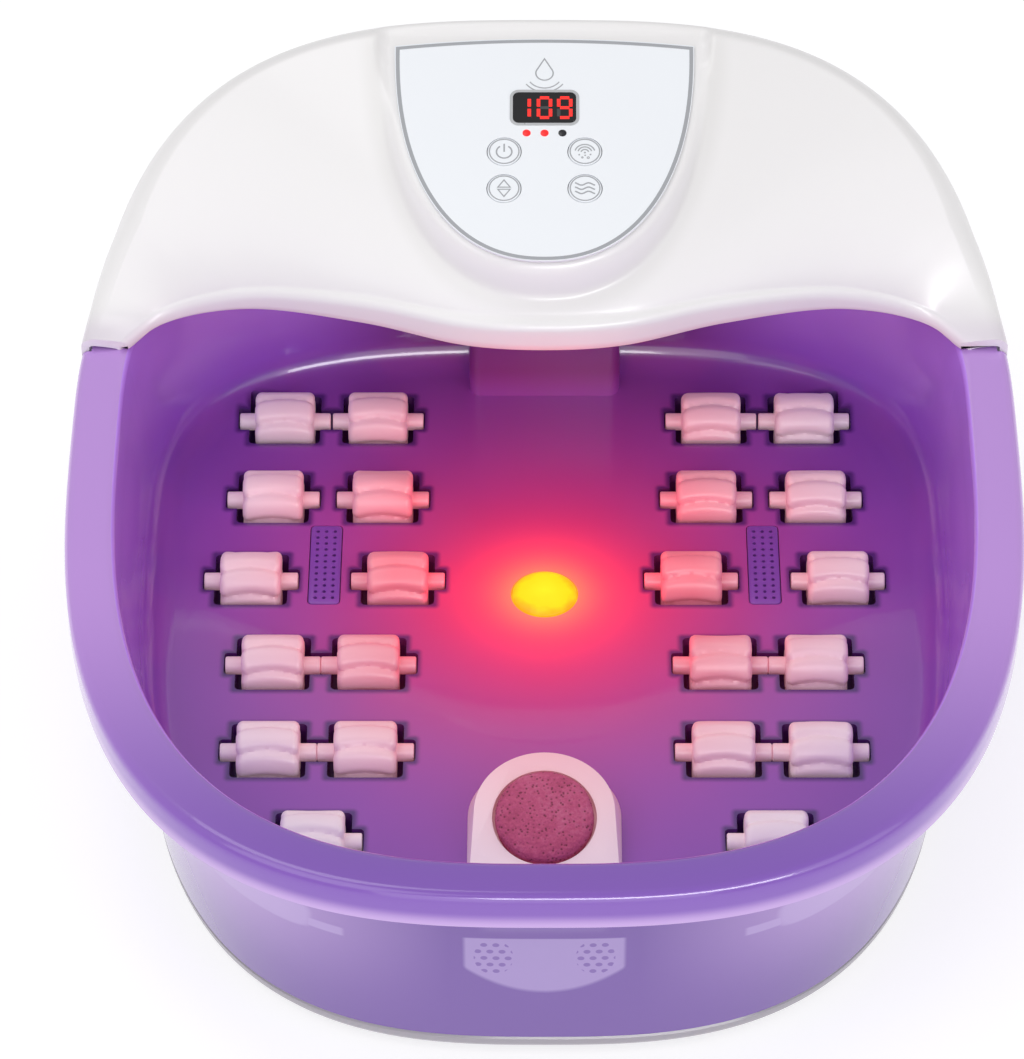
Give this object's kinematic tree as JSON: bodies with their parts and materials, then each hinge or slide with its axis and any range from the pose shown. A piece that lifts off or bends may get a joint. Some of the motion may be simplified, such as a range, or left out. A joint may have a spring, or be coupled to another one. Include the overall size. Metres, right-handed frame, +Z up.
{
  "type": "foot spa basin",
  "caption": "Foot spa: translucent tub with massage rollers in its floor, bubble strips, lamp and pumice stone, under a hood with a sloped key panel.",
  "frame": {"origin": "on the supporting surface, under the middle of the overall length and width", "axes": "+X to the user's right, +Y from the heel end to the toe end, where the hood is, +Z up"},
  "size_m": [0.367, 0.4, 0.21],
  "materials": {
    "tub": "translucent, glossy",
    "white": "smooth, glossy",
    "roller_white": "smooth",
    "label": "smooth printed film",
    "smoked": "polished smoked window",
    "lamp_red": "clear red lens",
    "pumice": "rough, porous",
    "circuit": "coated circuit board",
    "dark": "moulded",
    "rubber": "matte",
    "aluminium": "milled",
    "steel": "plain"
  },
  "bodies": {
    "tub": {"basin": "tub", "base_pan": "white", "foot_pad_front_left": "rubber", "foot_pad_rear_left": "rubber", "foot_pad_front_right": "rubber", "foot_pad_rear_right": "rubber", "base_screw_1": "steel", "base_screw_2": "steel", "base_screw_3": "steel", "base_screw_4": "steel", "hood": "white", "hood_liner": "white", "rear_cover": "white", "cord_gland": "dark", "panel_overlay": "label", "display_window": "smoked", "display_module": "dark", "control_board": "circuit", "heater_plate": "aluminium", "thermostat": "dark", "light_lens": "lamp_red", "light_board": "circuit", "bubble_strip_left": "tub", "bubble_strip_right": "tub", "vibration_motor": "steel", "motor_clamp": "white", "blower_case": "dark", "blower_motor": "steel", "air_hose": "rubber", "wire_harness": "dark", "pumice_holder": "white"},
    "roller_left_1_outer": {"roller_left_1_outer": "roller_white"},
    "roller_left_1_inner": {"roller_left_1_inner": "roller_white"},
    "roller_left_2_outer": {"roller_left_2_outer": "roller_white"},
    "roller_left_2_inner": {"roller_left_2_inner": "roller_white"},
    "roller_left_3_outer": {"roller_left_3_outer": "roller_white"},
    "roller_left_3_inner": {"roller_left_3_inner": "roller_white"},
    "roller_left_4_outer": {"roller_left_4_outer": "roller_white"},
    "roller_left_4_inner": {"roller_left_4_inner": "roller_white"},
    "roller_left_5_outer": {"roller_left_5_outer": "roller_white"},
    "roller_left_5_inner": {"roller_left_5_inner": "roller_white"},
    "roller_left_6_middle": {"roller_left_6_middle": "roller_white"},
    "roller_right_1_outer": {"roller_right_1_outer": "roller_white"},
    "roller_right_1_inner": {"roller_right_1_inner": "roller_white"},
    "roller_right_2_outer": {"roller_right_2_outer": "roller_white"},
    "roller_right_2_inner": {"roller_right_2_inner": "roller_white"},
    "roller_right_3_outer": {"roller_right_3_outer": "roller_white"},
    "roller_right_3_inner": {"roller_right_3_inner": "roller_white"},
    "roller_right_4_outer": {"roller_right_4_outer": "roller_white"},
    "roller_right_4_inner": {"roller_right_4_inner": "roller_white"},
    "roller_right_5_outer": {"roller_right_5_outer": "roller_white"},
    "roller_right_5_inner": {"roller_right_5_inner": "roller_white"},
    "roller_right_6_middle": {"roller_right_6_middle": "roller_white"},
    "button_power": {"button_power": "label"},
    "button_light_bubble": {"button_light_bubble": "label"},
    "button_temperature": {"button_temperature": "label"},
    "button_vibration": {"button_vibration": "label"},
    "pumice_stone": {"pumice_stone": "pumice"},
    "blower_impeller": {"blower_impeller": "white"},
    "vibration_weight": {"vibration_weight": "steel"}
  },
  "joints": [
    {"name": "roller_left_1_outer_spin", "type": "hinge", "parent": "tub", "child": "roller_left_1_outer", "pos_m": [-0.106, 0.138, 0.044], "axis": [1, 0, 0], "continuous": true},
    {"name": "roller_left_1_inner_spin", "type": "hinge", "parent": "tub", "child": "roller_left_1_inner", "pos_m": [-0.068, 0.138, 0.044], "axis": [1, 0, 0], "continuous": true},
    {"name": "roller_left_2_outer_spin", "type": "hinge", "parent": "tub", "child": "roller_left_2_outer", "pos_m": [-0.109, 0.0902, 0.044], "axis": [1, 0, 0], "continuous": true},
    {"name": "roller_left_2_inner_spin", "type": "hinge", "parent": "tub", "child": "roller_left_2_inner", "pos_m": [-0.065, 0.0902, 0.044], "axis": [1, 0, 0], "continuous": true},
    {"name": "roller_left_3_outer_spin", "type": "hinge", "parent": "tub", "child": "roller_left_3_outer", "pos_m": [-0.116, 0.0424, 0.044], "axis": [1, 0, 0], "continuous": true},
    {"name": "roller_left_3_inner_spin", "type": "hinge", "parent": "tub", "child": "roller_left_3_inner", "pos_m": [-0.058, 0.0424, 0.044], "axis": [1, 0, 0], "continuous": true},
    {"name": "roller_left_4_outer_spin", "type": "hinge", "parent": "tub", "child": "roller_left_4_outer", "pos_m": [-0.1056, -0.0054, 0.044], "axis": [1, 0, 0], "continuous": true},
    {"name": "roller_left_4_inner_spin", "type": "hinge", "parent": "tub", "child": "roller_left_4_inner", "pos_m": [-0.0684, -0.0054, 0.044], "axis": [1, 0, 0], "continuous": true},
    {"name": "roller_left_5_outer_spin", "type": "hinge", "parent": "tub", "child": "roller_left_5_outer", "pos_m": [-0.1056, -0.0532, 0.044], "axis": [1, 0, 0], "continuous": true},
    {"name": "roller_left_5_inner_spin", "type": "hinge", "parent": "tub", "child": "roller_left_5_inner", "pos_m": [-0.0684, -0.0532, 0.044], "axis": [1, 0, 0], "continuous": true},
    {"name": "roller_left_6_middle_spin", "type": "hinge", "parent": "tub", "child": "roller_left_6_middle", "pos_m": [-0.087, -0.101, 0.044], "axis": [1, 0, 0], "continuous": true},
    {"name": "roller_right_1_outer_spin", "type": "hinge", "parent": "tub", "child": "roller_right_1_outer", "pos_m": [0.106, 0.138, 0.044], "axis": [1, 0, 0], "continuous": true},
    {"name": "roller_right_1_inner_spin", "type": "hinge", "parent": "tub", "child": "roller_right_1_inner", "pos_m": [0.068, 0.138, 0.044], "axis": [1, 0, 0], "continuous": true},
    {"name": "roller_right_2_outer_spin", "type": "hinge", "parent": "tub", "child": "roller_right_2_outer", "pos_m": [0.109, 0.0902, 0.044], "axis": [1, 0, 0], "continuous": true},
    {"name": "roller_right_2_inner_spin", "type": "hinge", "parent": "tub", "child": "roller_right_2_inner", "pos_m": [0.065, 0.0902, 0.044], "axis": [1, 0, 0], "continuous": true},
    {"name": "roller_right_3_outer_spin", "type": "hinge", "parent": "tub", "child": "roller_right_3_outer", "pos_m": [0.116, 0.0424, 0.044], "axis": [1, 0, 0], "continuous": true},
    {"name": "roller_right_3_inner_spin", "type": "hinge", "parent": "tub", "child": "roller_right_3_inner", "pos_m": [0.058, 0.0424, 0.044], "axis": [1, 0, 0], "continuous": true},
    {"name": "roller_right_4_outer_spin", "type": "hinge", "parent": "tub", "child": "roller_right_4_outer", "pos_m": [0.1056, -0.0054, 0.044], "axis": [1, 0, 0], "continuous": true},
    {"name": "roller_right_4_inner_spin", "type": "hinge", "parent": "tub", "child": "roller_right_4_inner", "pos_m": [0.0684, -0.0054, 0.044], "axis": [1, 0, 0], "continuous": true},
    {"name": "roller_right_5_outer_spin", "type": "hinge", "parent": "tub", "child": "roller_right_5_outer", "pos_m": [0.1056, -0.0532, 0.044], "axis": [1, 0, 0], "continuous": true},
    {"name": "roller_right_5_inner_spin", "type": "hinge", "parent": "tub", "child": "roller_right_5_inner", "pos_m": [0.0684, -0.0532, 0.044], "axis": [1, 0, 0], "continuous": true},
    {"name": "roller_right_6_middle_spin", "type": "hinge", "parent": "tub", "child": "roller_right_6_middle", "pos_m": [0.087, -0.101, 0.044], "axis": [1, 0, 0], "continuous": true},
    {"name": "button_power_press", "type": "slide", "parent": "tub", "child": "button_power", "axis": [0, 0.2756, -0.9613], "range_m": [0, 0.0006], "stiffness_N_per_m": 400},
    {"name": "button_light_bubble_press", "type": "slide", "parent": "tub", "child": "button_light_bubble", "axis": [0, 0.2756, -0.9613], "range_m": [0, 0.0006], "stiffness_N_per_m": 400},
    {"name": "button_temperature_press", "type": "slide", "parent": "tub", "child": "button_temperature", "axis": [0, 0.2756, -0.9613], "range_m": [0, 0.0006], "stiffness_N_per_m": 400},
    {"name": "button_vibration_press", "type": "slide", "parent": "tub", "child": "button_vibration", "axis": [0, 0.2756, -0.9613], "range_m": [0, 0.0006], "stiffness_N_per_m": 400},
    {"name": "pumice_lift", "type": "slide", "parent": "tub", "child": "pumice_stone", "axis": [0, -0.309, 0.9511], "range_m": [0, 0.05]},
    {"name": "blower_spin", "type": "hinge", "parent": "tub", "child": "blower_impeller", "pos_m": [0, 0.15, 0.13], "axis": [0, 0, 1], "continuous": true},
    {"name": "vibration_spin", "type": "hinge", "parent": "tub", "child": "vibration_weight", "pos_m": [0.019, -0.076, 0.0225], "axis": [1, 0, 0], "continuous": true}
  ]
}
